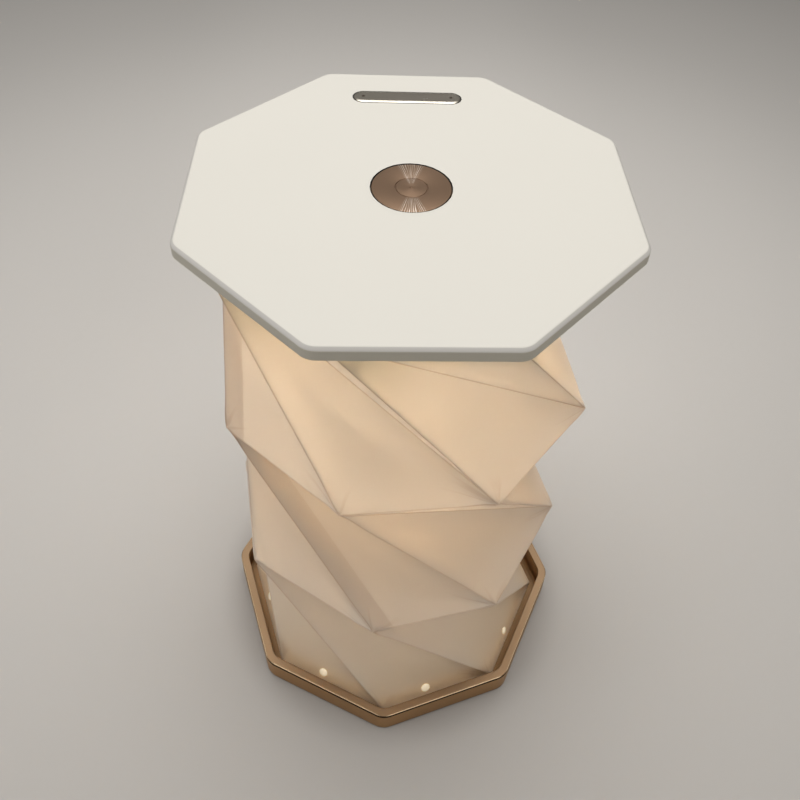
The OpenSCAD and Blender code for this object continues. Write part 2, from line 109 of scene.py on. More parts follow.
class Finish:
    # One material: a Principled shader with constants on its own sockets, and the nodes that feed it.
    def __init__(self, name, **constants):
        self.material = bpy.data.materials.new(name)
        self.material.use_nodes = True
        self.tree = self.material.node_tree
        self.shader = self.tree.nodes["Principled BSDF"]
        self.output = self.tree.nodes["Material Output"]
        self.feed(**constants)

    # A node of that kind: settings first, then the value or the link of each socket
    def add(self, kind, settings=None, inputs=None, out=0):
        node = self.tree.nodes.new(kind)
        for key, value in (settings or {}).items():
            setattr(node, key, value)
        for key, value in (inputs or {}).items():
            self.plug(node.inputs[key], value)
        return Signal(self, node.outputs[out])

    def plug(self, socket, value):
        if isinstance(value, Signal):
            self.tree.links.new(value.socket, socket)
        elif hasattr(value, "__len__") and len(value) == 3 and socket.type == "RGBA":
            socket.default_value = (*value, 1)
        else:
            socket.default_value = value

    def feed(self, **links):
        for key, value in links.items():
            self.plug(self.shader.inputs[key.replace("_", " ")], value)
        return self

    def place(self):
        return self.add("ShaderNodeTexCoord", out="Object")

    # The first two parts of a vector
    def firstTwo(self, vector):
        return [self.add("ShaderNodeSeparateXYZ", None, {0: vector}, out=i) for i in range(2)]

    def joined(self, x, y, z=0.0):
        return self.add("ShaderNodeCombineXYZ", None, {"X": x, "Y": y, "Z": z})

    # Cloudy noise, with features about size metres wide
    def cloud(self, size, detail=3.0, rough=0.55, where=None, stretch=None):
        where = where or self.place()
        if stretch:
            where = self.add("ShaderNodeVectorMath", {"operation": "MULTIPLY"}, {0: where, 1: stretch})
        return self.add("ShaderNodeTexNoise", None, {
            "Vector": where, "Scale": 1 / size, "Detail": detail, "Roughness": rough})

    # One colour going to another as the signal goes from 0 to 1
    def tint(self, factor, first, second):
        return self.add("ShaderNodeMix", {"data_type": "RGBA"}, {0: factor, 6: first, 7: second}, out=2)

    def bump(self, height, depth, strength=1.0):
        return self.add("ShaderNodeBump", None, {"Height": height, "Distance": depth, "Strength": strength})

    # Mixes the shader with light that comes through from behind, in that share and colour
    def letThrough(self, share, colour):
        through = self.add("ShaderNodeBsdfTranslucent", None, {"Color": colour})
        surface = Signal(self, self.shader.outputs[0])
        mixed = self.add("ShaderNodeMixShader", None, {0: share, 1: surface, 2: through})
        self.tree.links.new(mixed.socket, self.output.inputs["Surface"])
        return self


# A colour times a factor, no channel over 1
def scaled(colour, factor):
    return tuple(min(c * factor, 1.0) for c in colour)


# A colour made a little darker, and made a little paler
def spread(colour, darker, paler):
    return scaled(colour, 1 - darker), scaled(colour, 1 + paler)


# Fine grain, depth metres deep, over broad patches: both move the colour by drift and the roughness by uneven
def skin(finish, colour, rough, fine, broad, fineShare, drift, uneven, depth):
    mixed = fine * fineShare + broad * (1 - fineShare)
    return finish.feed(
        Base_Color=finish.tint(mixed, *spread(colour, drift, drift)),
        Roughness=rough + (fine - 0.5) * uneven[0] + (broad - 0.5) * uneven[1],
        Normal=finish.bump(fine, depth)).material


# Moulded plastic: fine grain and a faint drift of colour
def moulded(name, colour, rough, grain=0.0006, depth=0.000012, drift=0.03, patch=0.05, **more):
    finish = Finish(name, **more)
    fine, broad = finish.cloud(grain, detail=5.0), finish.cloud(patch)
    return skin(finish, colour, rough, fine, broad, 0.3, drift, (0.12, 0.06), depth)


# Satin or brushed metal, whose brush lines follow stretch
def brushed(name, colour, rough, size=0.0009, stretch=(1, 1, 1), depth=0.000006, drift=0.12, patch=0.03):
    finish = Finish(name, Metallic=1.0)
    lines, broad = finish.cloud(size, detail=6.0, rough=0.7, stretch=stretch), finish.cloud(patch)
    return skin(finish, colour, rough, lines, broad, 0.6, drift, (0.16, 0.08), depth)


# Anodised metal: a fine blasted grain with faint patches
def anodised(name, colour, rough, grain=0.0005, depth=0.000008, drift=0.1, patch=0.04):
    finish = Finish(name, Metallic=1.0)
    fine, broad = finish.cloud(grain, detail=4.0), finish.cloud(patch)
    return skin(finish, colour, rough, fine, broad, 0.4, drift, (0.1, 0.06), depth)


# A clouded skin that also glows; colours and glows are (dark, pale) each
def luminous(name, rough, cloud, colours, glows, strength):
    finish = Finish(name, Roughness=rough, Emission_Strength=strength)
    cloudy = finish.cloud(cloud)
    return finish.feed(Base_Color=finish.tint(cloudy, *colours), Emission_Color=finish.tint(cloudy, *glows))


# Mesh bench

# A new object in the scene, which holds the data
def placed(name, data):
    thing = bpy.data.objects.new(name, data)
    bpy.context.scene.collection.objects.link(thing)
    return thing


def meshObject(name, points, faces):
    mesh = bpy.data.meshes.new(name)
    mesh.from_pydata(np.asarray(points, float).tolist(), [], [list(map(int, f)) for f in faces])
    mesh.update()
    return placed(name, mesh)


# One named piece that rides on a body; edges that bend by more than sharp degrees stay sharp
def makePiece(name, points, faces, material, body, slot, sharp=30.0):
    piece = meshObject(name, points, faces)
    piece.data.shade_smooth()
    piece.data.set_sharp_from_angle(angle=radians(sharp))
    piece.data.materials.append(material)
    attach(piece, body)
    return piece


# Quads over a stack of closed rings (rows, columns, 3); with loop, the last ring joins the first
def ringQuads(rows, columns, loop=False):
    index = np.arange(rows * columns).reshape(rows, columns)
    below = np.roll(index, -1, 0) if loop else index[1:]
    above = index if loop else index[:-1]
    return np.stack([above, np.roll(above, -1, 1), np.roll(below, -1, 1), below], -1).reshape(-1, 4)


# Volume inside a mesh, a sixth of its triangles' triple products; negative where faces point inwards
def signedVolume(points, faces):
    total = 0.0
    for face in faces:
        corner = points[np.asarray(face)]
        fan = np.cross(corner[1:-1], corner[2:])
        total += float((fan @ corner[0]).sum())
    return total / 6


# All faces turned over where the volume inside them is negative
def facingOut(points, faces):
    return [f[::-1] for f in faces] if signedVolume(points, faces) < 0 else faces


# A closed solid from a stack of rings: quads between the rings, and end caps unless they form a loop
def solidFrom(stack, loop):
    rows, columns = stack.shape[:2]
    points = stack.reshape(-1, 3)
    faces = [list(f) for f in ringQuads(rows, columns, loop)]
    if not loop:
        faces += [list(range(columns))[::-1], list(range((rows - 1) * columns, rows * columns))]
    return points, facingOut(points, faces)


# Lifts flat outlines, a list of (points, height) in millimetres, to rings in metres
def rings(stack):
    return np.array([np.column_stack([p, np.full(len(p), z)]) for p, z in stack]) * mm


# A profile of (radius, height) in millimetres, turned about the axis into rings in metres
def lathe(profile, steps=160):
    a = np.arange(steps) * 2 * pi / steps
    profile = np.array(profile)
    return np.stack([profile[:, :1] * np.cos(a), profile[:, :1] * np.sin(a),
                     np.repeat(profile[:, 1:], steps, 1)], -1) * mm


# Applies a cutter to a piece and throws the cutter away
def cutAway(piece, cutterRings, sharp=30.0):
    cutter = meshObject("cutter", *solidFrom(cutterRings, False))
    tool = piece.modifiers.new("cut", "BOOLEAN")
    tool.operation, tool.solver, tool.object = "DIFFERENCE", "EXACT", cutter
    graph = bpy.context.evaluated_depsgraph_get()
    done = bpy.data.meshes.new_from_object(piece.evaluated_get(graph))
    piece.modifiers.clear()
    piece.data = done
    bpy.data.objects.remove(cutter)
    done.set_sharp_from_angle(angle=radians(sharp))


# Octagons and other outlines, in millimetres

octagons = {"acrossFlats": 169.97, "flank": 85.0, "arcSteps": 10, "flatSteps": 4, "leastCorner": 0.15}


# An octagon whose corners are arcs, tip + corner * (cos, sin), joined by straight flats. Its radius is half
# of the distance across flats, less the inset, over cos 22.5 degrees.
def octagon(inset, corner, turn):
    flat, half = cos(pi / 8), octagons["acrossFlats"] / 2
    radius = (half - inset) / flat
    corner = max(corner - inset, octagons["leastCorner"])
    middles = radians(turn) + np.arange(8) * pi / 4
    angles = middles[:, None] + np.linspace(-pi / 8, pi / 8, octagons["arcSteps"] + 1)
    tips = (radius - corner / flat) * np.stack([np.cos(middles), np.sin(middles)], -1)
    arcs = tips[:, None] + corner * np.stack([np.cos(angles), np.sin(angles)], -1)
    start, end = arcs[:, -1], np.roll(arcs[:, 0], -1, 0)
    share = (np.arange(1, octagons["flatSteps"]) / octagons["flatSteps"])[None, :, None]
    flats = start[:, None] * (1 - share) + end[:, None] * share
    return np.concatenate([arcs, flats], 1).reshape(-1, 2)


# Distance from the axis square to the nearest flat: the distance times the cosine of the angle to its middle
def flatDistance(x, y, turn):
    around = (np.arctan2(y, x) - radians(turn)) % (pi / 4) - pi / 8
    return np.hypot(x, y) * np.cos(around)


# A second material for faces whose middles pass a test of x, y, z and reach, which is their flatDistance
def trim(piece, turn, material, test):
    piece.data.materials.append(material)
    count = len(piece.data.polygons)
    middle = np.zeros(count * 3)
    piece.data.polygons.foreach_get("center", middle)
    x, y, z = (middle.reshape(-1, 3) / mm).T
    choice = np.zeros(count, np.int32)
    piece.data.polygons.foreach_get("material_index", choice)
    last = len(piece.data.materials) - 1
    choice = np.where(test(x, y, z, flatDistance(x, y, turn)), last, choice)
    piece.data.polygons.foreach_set("material_index", choice)


# Quarter-round from a wall to a level face: (radius * (1 - cos), level + up * radius * (1 - sin)), up 1 or -1
def quarterRound(radius, level, up, steps=8):
    a = np.linspace(0, pi / 2, steps + 1)
    return [(radius * (1 - cos(x)), level + up * radius * (1 - sin(x))) for x in a]


# A straight-sided bar outline with round ends, centred on at
def pill(length, width, at=(0.0, 0.0), steps=20):
    a = np.linspace(-pi / 2, pi / 2, steps + 1)
    right = np.stack([np.cos(a), np.sin(a)], -1) * width / 2 + [(length - width) / 2, 0]
    return np.concatenate([right, -right]) + at


# Camera, floor and light

# The photo's view, solved from the octagons of lid and tray; focal length and centre are in its pixels
view = {
    "place": (-0.015437, -0.273284, 0.484349), "turn": (0.77703, -0.044477, -0.03377),
    "focalPixels": 878.04, "centre": (418.2, 340.0), "picture": 800, "sensor": 36.0, "clip": (0.01, 50),
}

cameraData = bpy.data.cameras.new("photoCamera")
cameraData.sensor_width = view["sensor"]
cameraData.lens = view["focalPixels"] / view["picture"] * view["sensor"]
cameraData.shift_x = (view["picture"] / 2 - view["centre"][0]) / view["picture"]
cameraData.shift_y = (view["centre"][1] - view["picture"] / 2) / view["picture"]
cameraData.clip_start, cameraData.clip_end = view["clip"]
photoCamera = placed("photoCamera", cameraData)
photoCamera.location, photoCamera.rotation_euler = view["place"], view["turn"]
bpy.context.scene.camera = photoCamera

# In metres. A fade is (from, to) and how much darker: painted shade where the lamps' light falls off. The
# pool is a painted pool of light behind the lamp, and the contact fade is a painted contact shadow round the
# tray.
ground = {
    "size": 40.0, "colour": (0.70, 0.672, 0.64), "drift": 0.012, "patch": 0.6, "grain": 0.004,
    "patchShare": 0.8, "poolSquash": 0.8, "poolBeyond": 0.3, "near": ((0.2, 0.5), 0.13),
    "wide": ((0.3, 1.1), 0.13), "aside": ((0.1, 0.25), 0.05), "paintedContactShadow": ((0.084, 0.106), 0.18),
    "far": (1.0, 2.2), "farColour": (0.97, 0.955, 0.93),
}
studio = {
    "air": (1.0, 0.985, 0.96), "airStrength": 0.14,
    "lamps": [  # name, place, what it looks at, width, watts, colour, spread in degrees
        ("overhead", (0.0, 0.2, 1.25), (0, 0.2, 0), 0.9, 5.35, (1.0, 0.985, 0.955), 122),
        ("rightSide", (1.2, -0.35, 0.45), (0, 0, 0.2), 0.6, 0.3, (1.0, 0.975, 0.94), 180),
        ("leftSide", (-1.2, -0.25, 0.45), (0, 0, 0.2), 0.7, 2.5, (0.98, 0.985, 1.0), 180),
        ("front", (0.6, -1.2, 1.2), (0, 0, 0.15), 1.0, 3.0, (1.0, 0.98, 0.95), 180),
        ("backCard", (0.0, 1.7, 1.45), (0, 0, 0.2), 1.8, 1.6, (1.0, 0.97, 0.93), 180),
    ],
}


# A pale tone with painted light falloff: darker away from the painted pool of light and to both sides, with a
# painted contact shadow round the tray; far off it takes the air's tone
def floorWithPaintedShade():
    finish = Finish("paleFloorPaintedShade", Roughness=0.8, Specular_IOR_Level=0.2)
    patches, grain = finish.cloud(ground["patch"], detail=2.0), finish.cloud(ground["grain"], detail=3.0)
    cloudy = patches * ground["patchShare"] + grain * (1 - ground["patchShare"])
    x, y = finish.firstTwo(finish.place())
    poolX, poolY = x * ground["poolSquash"], y - ground["poolBeyond"]
    fromPool, fromAxis = (poolX * poolX + poolY * poolY) ** 0.5, (x * x + y * y) ** 0.5
    near, wide, aside, paintedContactShadow = (ground[key] for key in ("near", "wide", "aside", "paintedContactShadow"))
    # painted shade: falloff from the pool of light, to both sides, and a painted contact shadow round the
    # tray
    darker = fromPool.rise(*near[0]) * near[1] + fromPool.rise(*wide[0]) * wide[1]
    darker = darker + abs(x).rise(*aside[0]) * aside[1] + fromAxis.fall(*paintedContactShadow[0]) * paintedContactShadow[1]
    lit = finish.tint(cloudy, *spread(ground["colour"], ground["drift"], ground["drift"]))
    tone = finish.tint(darker, lit, (0.0, 0.0, 0.0))
    finish.feed(Base_Color=finish.tint(fromPool.rise(*ground["far"]), tone, ground["farColour"]))
    return finish.material


def layFloor():
    size = ground["size"] / 2
    corners = [(-size, -size, 0), (size, -size, 0), (size, size, 0), (-size, size, 0)]
    floor = meshObject("floor", corners, [(0, 1, 2, 3)])
    floor.data.materials.append(floorWithPaintedShade())


# A dim even air and soft square lamps, each tilted from straight down and then turned to face its target
def hangLights():
    world = bpy.data.worlds.new("studioAir")
    world.use_nodes = True
    air = world.node_tree.nodes["Background"]
    air.inputs["Color"].default_value = (*studio["air"], 1)
    air.inputs["Strength"].default_value = studio["airStrength"]
    bpy.context.scene.world = world
    for name, place, target, width, watts, colour, beam in studio["lamps"]:
        data = bpy.data.lights.new(name, "AREA")
        data.size, data.energy, data.color, data.spread = width, watts, colour, radians(beam)
        lamp = placed(name, data)
        lamp.location = place
        x, y, z = np.array(place) - np.array(target)
        lamp.rotation_euler = (atan2(sqrt(x ** 2 + y ** 2), z), 0, atan2(x, -y))


bpy.context.scene.view_settings.view_transform = "Standard"
layFloor()
hangLights()
print("camera, floor and lights stand")


# Lid

# Heights are the CAD part's own; bands are rings that keep the level faces beside a soft edge smooth
lid = {
    "under": 282.665, "cover": 284.265, "skin": 286.465, "top": 288.465, "turn": 22.5, "corner": 8.0,
    "edge": 1.2, "soft": 0.12, "lip": 0.4, "border": 5.0, "ledge": 1.5, "holeSoft": 0.1,
    "bands": {"hole": 2.0, "top": 0.9, "side": 0.6, "foot": 1.0},
    "slot": (9.24, 3.56), "slotReach": (77.0, 90.0), "seatHalf": (25.0, 6.0),
    "flankFrom": 84.0, "edgeDown": 0.1, "dip": 0.05, "holeSlack": 0.02, "seatSlack": 0.01,
}

whiteLid = moulded("lidPlastic", (0.74, 0.715, 0.655), 0.55, drift=0.012)
# Painted shade: a darker copy of the lid's plastic for the chamfer, and a darker, warmer one for the flanks,
# which face away from the lamps
chamferPaintedShade = moulded("lidChamferPaintedShade", (0.62, 0.595, 0.56), 0.6, drift=0.012)
lidFlankPaintedShade = moulded("lidFlankPaintedShade", (0.69, 0.645, 0.545), 0.55, drift=0.012)
whiteMoulding = moulded("innerMoulding", (0.80, 0.78, 0.73), 0.5)
# Black plastic for the black parts inside, also laid on the lid's gap faces as painted shade
blackPlasticAndGapShade = moulded("blackPlasticAndGapShade", (0.03, 0.03, 0.03), 0.45)


def lidOutline(inset):
    return octagon(inset, lid["corner"], lid["turn"])


# The section is a loop: from the hole over the top, down the chamfer, in under the border and up the recess
def lidRings(hole):
    edge, soft, lip, holeSoft, bands = lid["edge"], lid["soft"], lid["lip"], lid["holeSoft"], lid["bands"]
    border, ledge = lid["border"], lid["border"] + lid["ledge"]
    x, y = lidOutline(0).T
    way = np.arctan2(y, x)
    around = np.stack([np.cos(way), np.sin(way)], -1)
    mouth = [(0, holeSoft), (0.3 * holeSoft, 0.3 * holeSoft), (holeSoft, 0), (bands["hole"], 0)]
    shoulder = [(edge + bands["top"], 0), (edge + soft, 0), (edge + soft * 0.3, soft * 0.25),
                (edge - soft, soft), (soft, edge - soft), (soft * 0.25, edge + soft * 0.3),
                (0, edge + soft), (0, edge + bands["side"])]
    foot = [(0, bands["foot"]), (0, lip), (0.3 * lip, 0.7 * lip), (0.7 * lip, 0.3 * lip), (lip, 0)]
    stack = [(around * (hole + out), lid["top"] - down) for out, down in mouth]
    stack += [(lidOutline(inset), lid["top"] - down) for inset, down in shoulder]
    stack += [(lidOutline(inset), lid["under"] + up) for inset, up in foot]
    stack += [(lidOutline(border), z) for z in (lid["under"], lid["cover"])]
    stack += [(lidOutline(ledge), z) for z in (lid["cover"], lid["skin"])]
    return rings(stack + [(around * hole, lid["skin"])])


# The shell, less the seat of the name plate and the slot of the charging socket; its chamfer and flanks wear
# painted shade, and the button's hole and the plate's seat wear black painted shade
def makeLid():
    hole, top, edge, turn = button["radius"] + button["gap"], lid["top"], lid["edge"], lid["turn"]
    piece = makePiece("lidShell", *solidFrom(lidRings(hole), True), whiteLid, "head", "white_lid")
    room, seatLow, seatY = 2 * namePlate["gap"], top - namePlate["recess"], namePlate["y"]
    seat = pill(namePlate["length"] + room, namePlate["width"] + room, (0, seatY))
    cutAway(piece, rings([(seat, seatLow), (seat, top + 1)]))
    slot = pill(*lid["slot"], (0, (lid["under"] + top) / 2))
    cutAway(piece, rings([(slot, y) for y in lid["slotReach"]])[..., [0, 2, 1]])   # upright, cut along Y
    halfLong, halfWide = lid["seatHalf"]
    sunk = top - lid["dip"]
    # painted shade on the chamfer and on the flanks below it
    trim(piece, turn, chamferPaintedShade, lambda x, y, z, reach: (
        (reach > octagons["flank"] - edge) & (z > top - edge) & (z < top - lid["edgeDown"])))
    trim(piece, turn, lidFlankPaintedShade, lambda x, y, z, reach: (reach > lid["flankFrom"]) & (z < top - edge))
    # painted shade: black on the wall of the button's hole and in the name plate's seat, where the gaps lie
    # in shade
    trim(piece, turn, blackPlasticAndGapShade, lambda x, y, z, reach: (
        (np.hypot(x, y) < hole + lid["holeSlack"]) & (z < sunk)))
    trim(piece, turn, blackPlasticAndGapShade, lambda x, y, z, reach: (
        (abs(y - seatY) < halfWide) & (abs(x) < halfLong) & (z < sunk) & (z > seatLow - lid["seatSlack"])))
    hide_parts("top_plate")


# Push button

# Heights are the CAD part's own; groove is (half-widths outwards, depth) and dish is (radius, depth)
button = {
    "radius": 15.25, "gap": 0.5, "face": 288.365, "bevel": 0.2, "bevelFrom": 0.2, "circle": 6.1,
    "halfWidth": 0.26, "groove": [(1.6, 0), (1, 0.02), (0.4, 0.26), (-0.4, 0.26), (-1, 0.06), (-1.6, 0.04)],
    "dish": [(0.7, 0.06), (0.5, 0.3), (0.2, 0.3)], "axle": 0.2, "foot": 283.765, "stem": 3.0, "collar": 1.5,
    "collarLow": 285.565, "collarTop": 286.265,
}
# Pairs are the limits of an eased step. The noise of the painted highlight rays is laid by unevenAcross:
# (angle, radius, y).
turned = {
    "colour": (0.295, 0.195, 0.13), "drift": 0.06, "rough": 0.42, "roughDrift": 0.06,
    "groovesPerMetre": 9000.0, "grooveTurn": 0.6, "grooveDeep": 0.0000015,
    "paintedRayColour": (0.86, 0.77, 0.68), "raysPerRadian": 17.0, "rayWidth": (0.06, 0.17), "rayShift": 1.6,
    "fan": (0.26, 0.4), "rayStart": (1.5, 4.0), "laterInFront": 4.0, "faintest": 0.4,
    "unevenAcross": (9.0, 60.0, 90.0), "unevenStep": (0.35, 0.6),
}


# Fine rings, as a lathe leaves them, and painted highlight rays: a fan of pale rays painted into the colour
# where light strikes.
# A ray is where the fraction of angle * raysPerRadian is near a half.
def turnedMetalWithPaintedRays():
    finish = Finish("turnedBronzePaintedRays", Metallic=1.0, Anisotropic=0.25, Anisotropic_Rotation=0.25)
    x, y = finish.firstTwo(finish.place())
    radius = (x * x + y * y) ** 0.5
    angle = x.angleOver(abs(y))   # nought towards +Y and -Y, where the turned grooves catch the light
    byAngle, byRadius, byY = turned["unevenAcross"]
    uneven = finish.cloud(1.0, detail=1.0, where=finish.joined(angle * byAngle, radius * byRadius, y * byY))
    comb = (angle * turned["raysPerRadian"] + uneven * turned["rayShift"]).fraction()
    paintedRays = abs(comb - 0.5).fall(*turned["rayWidth"])
    inFront = (-y / mm).rise(0.0, 1.0)
    start = (radius / mm - inFront * turned["laterInFront"]).rise(*turned["rayStart"])
    strength = turned["faintest"] + uneven.rise(*turned["unevenStep"]) * (1 - turned["faintest"])
    # painted highlight: the rays only in the fans towards +Y and -Y, where the light is caught, starting
    # later in front
    paintedRays = paintedRays * abs(angle).fall(*turned["fan"]) * start * strength
    rounds = finish.joined(radius * turned["groovesPerMetre"], angle * turned["grooveTurn"])
    grooves = finish.cloud(1.0, detail=2.0, where=rounds)
    metal = finish.tint(grooves, *spread(turned["colour"], turned["drift"], turned["drift"]))
    return finish.feed(
        Base_Color=finish.tint(paintedRays, metal, turned["paintedRayColour"]),
        Roughness=turned["rough"] + (grooves - 0.5) * turned["roughDrift"],
        Normal=finish.bump(grooves, turned["grooveDeep"])).material


# The profile runs up the stem, round the collar, over the bevel and through the groove to the dish
def makeButton():
    r, face, bevel = button["radius"], button["face"], button["bevel"]
    axle, stem, foot = button["axle"], button["stem"], button["foot"]
    wide, low, high = r + button["collar"], button["collarLow"], button["collarTop"]
    profile = [(axle, foot), (stem, foot), (stem, low), (wide, low), (wide, high)]
    profile += [(r, high), (r, face - bevel)]
    profile += [(r - bevel * (1 - cos(a)), face - bevel * (1 - sin(a)))
                for a in np.linspace(button["bevelFrom"], pi / 2, 6)]
    profile += [(button["circle"] + button["halfWidth"] * out, face - down) for out, down in button["groove"]]
    profile += [(out, face - down) for out, down in button["dish"]]
    solid = solidFrom(lathe(profile), False)
    piece = makePiece("pushButton", *solid, turnedMetalWithPaintedRays(), "button", "button_metal", sharp=20)
    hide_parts("button_disc")


# Name plate

# The bevel is (inset, depth below the plate's own top), from the wall to the face
namePlate = {
    "length": 46.0, "width": 8.6, "y": 65.0, "recess": 0.5, "proud": 0.4, "gap": 0.45,
    "bevel": [(0, 0.36), (0.06, 0.33), (1.03, 0.02), (1.2, 0), (1.65, 0)],
}

plateSteel = brushed("plateSteel", (0.50, 0.46, 0.395), 0.24, size=0.0012, stretch=(0.08, 1, 1), drift=0.08)


# A pill-shaped bar, whose outline shrinks by twice the inset at each step of its bevel
def makeNamePlate():
    top, low = lid["top"] + namePlate["proud"], lid["top"] - namePlate["recess"]
    long, wide, at = namePlate["length"], namePlate["width"], (0, namePlate["y"])
    steps = [(0, low)] + [(inset, top - down) for inset, down in namePlate["bevel"]]
    solid = solidFrom(rings([(pill(long - 2 * inset, wide - 2 * inset, at), z) for inset, z in steps]), False)
    piece = makePiece("nameBar", *solid, plateSteel, "head", "polished_steel", sharp=25)
    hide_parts("name_plate")


makeLid()
makeButton()
makeNamePlate()
print("lid, button and name plate made")


# Tray and rim

# Heights are the CAD part's own; the groove's painted shadow starts at grooveFrom and the inside's painted
# shade ends at insideTo, square to the flats
tray = {
    "turn": 175.65, "corner": 10.5, "innerCorner": 8.0, "low": 0.7, "floor": 2.2, "rim": 13.4, "wall": 4.0,
    "fillet": 1.2, "floorBand": 3.0, "foot": 0.6, "sideBand": 1.0, "padInset": 5.0, "padDeep": 0.3,
    "middle": 70.0, "cornerSpare": 1.0, "grooveHigh": 0.12, "grooveDeep": 0.3, "grooveSoft": 0.15,
    "grooveFrom": 83.0, "insideTo": 81.5, "slack": 0.01,
}
# The line is the groove just under the rim's bright edge, whose faces wear painted shadow
rim = {
    "width": 4.4, "top": 16.0, "edge": 0.35, "foot": 0.2, "footSoft": 0.06,
    "lineDown": 0.45, "lineHigh": 1.5, "lineDeep": 0.7, "lineSoft": 0.1, "sideBand": 0.05, "topBand": 0.4,
    "innerBand": 0.8, "innerFoot": 0.3, "innerFootIn": 0.1, "lineFrom": 84.0, "insideTo": 81.1,
    "insideDown": 0.2,
}

bronze = anodised("anodisedBronze", (0.335, 0.222, 0.132), 0.44)
cutBronze = anodised("diamondCutEdge", (0.80, 0.60, 0.38), 0.3)
# Painted shade: a darker copy of the bronze for the inside of tray and rim
innerBronzePaintedShade = anodised("innerBronzePaintedShade", (0.27, 0.165, 0.085), 0.5)
# Painted light: a paler copy of the bronze for the tray's side, which reflects little of the lamps
trayBronzePaintedLight = anodised("trayBronzePaintedLight", (0.515, 0.30, 0.13), 0.42)
# Painted shadow: near-black for the faces of the grooves
shadowLine = moulded("shadowLine", (0.045, 0.022, 0.008), 0.9, Specular_IOR_Level=0.05)


def trayOutline(inset):
    return octagon(inset, tray["corner"], tray["turn"])


# The inner outline keeps a corner even where the inset is larger than its radius
def trayInside(inset):
    corner = max(tray["innerCorner"] + tray["wall"], inset + tray["cornerSpare"])
    return octagon(inset, corner, tray["turn"])


def rimInside(inset):
    return octagon(inset, tray["innerCorner"] + rim["width"], tray["turn"])


# The section runs from the middle of the floor up the inner wall, down outside and in over the pad's pocket
def makeTray():
    low, floor, top, turn = tray["low"], tray["floor"], tray["rim"], tray["turn"]
    wall, fillet, foot, middle = tray["wall"], tray["fillet"], tray["foot"], tray["middle"]
    groove, deep, soft = top - tray["grooveHigh"], tray["grooveDeep"], tray["grooveSoft"]
    pad, padTop = tray["padInset"], low + tray["padDeep"]
    stack = [(trayInside(middle), floor), (trayInside(wall + fillet + tray["floorBand"]), floor)]
    stack += [(trayInside(wall + inset), z) for inset, z in quarterRound(fillet, floor, 1, 6)[::-1]]
    stack += [(trayInside(wall), top)]
    side = [(deep, top), (deep, groove), (soft, groove), (0, groove - soft)]
    side += [(0, low + foot + tray["sideBand"])] + quarterRound(foot, low, 1, 5)
    under = [(pad, low), (pad, padTop), (middle, padTop)]
    stack += [(trayOutline(inset), z) for inset, z in side + under]
    piece = makePiece("trayShell", *solidFrom(rings(stack), False), trayBronzePaintedLight, "base", "bronze")
    # painted shadow in the groove under the rim
    trim(piece, turn, shadowLine, lambda x, y, z, reach: (
        (reach > tray["grooveFrom"]) & (z > groove - tray["slack"])))
    trim(piece, turn, innerBronzePaintedShade, lambda x, y, z, reach: (
        (reach < tray["insideTo"]) & (z > floor - tray["slack"])))
    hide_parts("base_tray")


# The section is a loop: up outside past the dark line, over the bright edge, and down the inner wall
def makeRim():
    width, edge, low, top, turn = rim["width"], rim["edge"], tray["rim"], rim["top"], tray["turn"]
    foot, footSoft, soft, deep = rim["foot"], rim["footSoft"], rim["lineSoft"], rim["lineDeep"]
    line = top - rim["lineDown"]
    lineLow = line - rim["lineHigh"]
    outside = [(foot, low), (footSoft, low + footSoft), (0, low + foot), (0, lineLow), (deep, lineLow + soft),
               (deep, line - soft), (0, line), (0, top - edge - rim["sideBand"])]
    outside += quarterRound(edge, top, -1) + [(edge + rim["topBand"], top)]
    inside = [(width - rim["innerBand"], top)]
    inside += [(width - inset, z) for inset, z in quarterRound(edge, top, -1, 5)[::-1]]
    inside += [(width, low + rim["innerFoot"]), (width - rim["innerFootIn"], low)]
    stack = [(trayOutline(inset), z) for inset, z in outside] + [(rimInside(inset), z) for inset, z in inside]
    piece = makePiece("trayRim", *solidFrom(rings(stack), True), bronze, "base", "bronze")
    trim(piece, turn, cutBronze, lambda x, y, z, reach: (reach > octagons["flank"] - edge) & (z > top - edge))
    # painted shadow in the line under the bright edge
    trim(piece, turn, shadowLine, lambda x, y, z, reach: (
        (reach > rim["lineFrom"]) & (z < line) & (z > lineLow)))
    trim(piece, turn, innerBronzePaintedShade, lambda x, y, z, reach: (
        (reach < rim["insideTo"]) & (z < top - rim["insideDown"])))
    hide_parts("base_rim")


makeTray()
makeRim()
print("tray and rim made")


# Folded shade

# The film hangs from level 0 under the lid to level 3 in the tray. On the flat sheet a sector is side long, a
# tier is flatHeight high and its ridges slant by slant; ridgeSpacing is the distance square to the ridges.
shade = {
    "radius": 83.24, "wall": 0.5, "top": 282.365, "foot": 2.5, "foldedTop": 12.2, "turn": 22.5,
    "twists": (48.65, 53.47, 51.03), "cells": 26, "crowd": 0.7, "bowOut": 0.5, "bowIn": 0.9, "seed": 7,
    "wave": 0.35, "waveLength": 34.0, "waveFade": 9.0, "crumple": 1.1, "crumpleReach": 8.0, "puckersRound": 5,
    "side": 63.71, "slant": 44.9, "flatHeight": 108.8, "ridgeSpacing": 58.9, "valleyScale": 44.7,
    "seamSector": 3, "seamWidth": 10.0, "seamWall": 0.35, "seamTiers": 2, "seamStart": 0.004, "seamCells": 5,
    "seamGap": 0.1,
    # how far hand folding has moved a corner: (level, corner): (outwards, round the axis, up)
    "moved": {
        (1, 3): (0.7, -1.9, 1.4), (1, 5): (-0.3, 0.6, 0.4), (1, 6): (1.0, 2.6, 2.4), (2, 2): (1.2, -3.0, 1.7),
        (2, 3): (0.7, 2.1, -0.5), (2, 4): (0.4, -1.3, -0.7), (2, 5): (-0.5, 0.8, 0.5),
    },
}

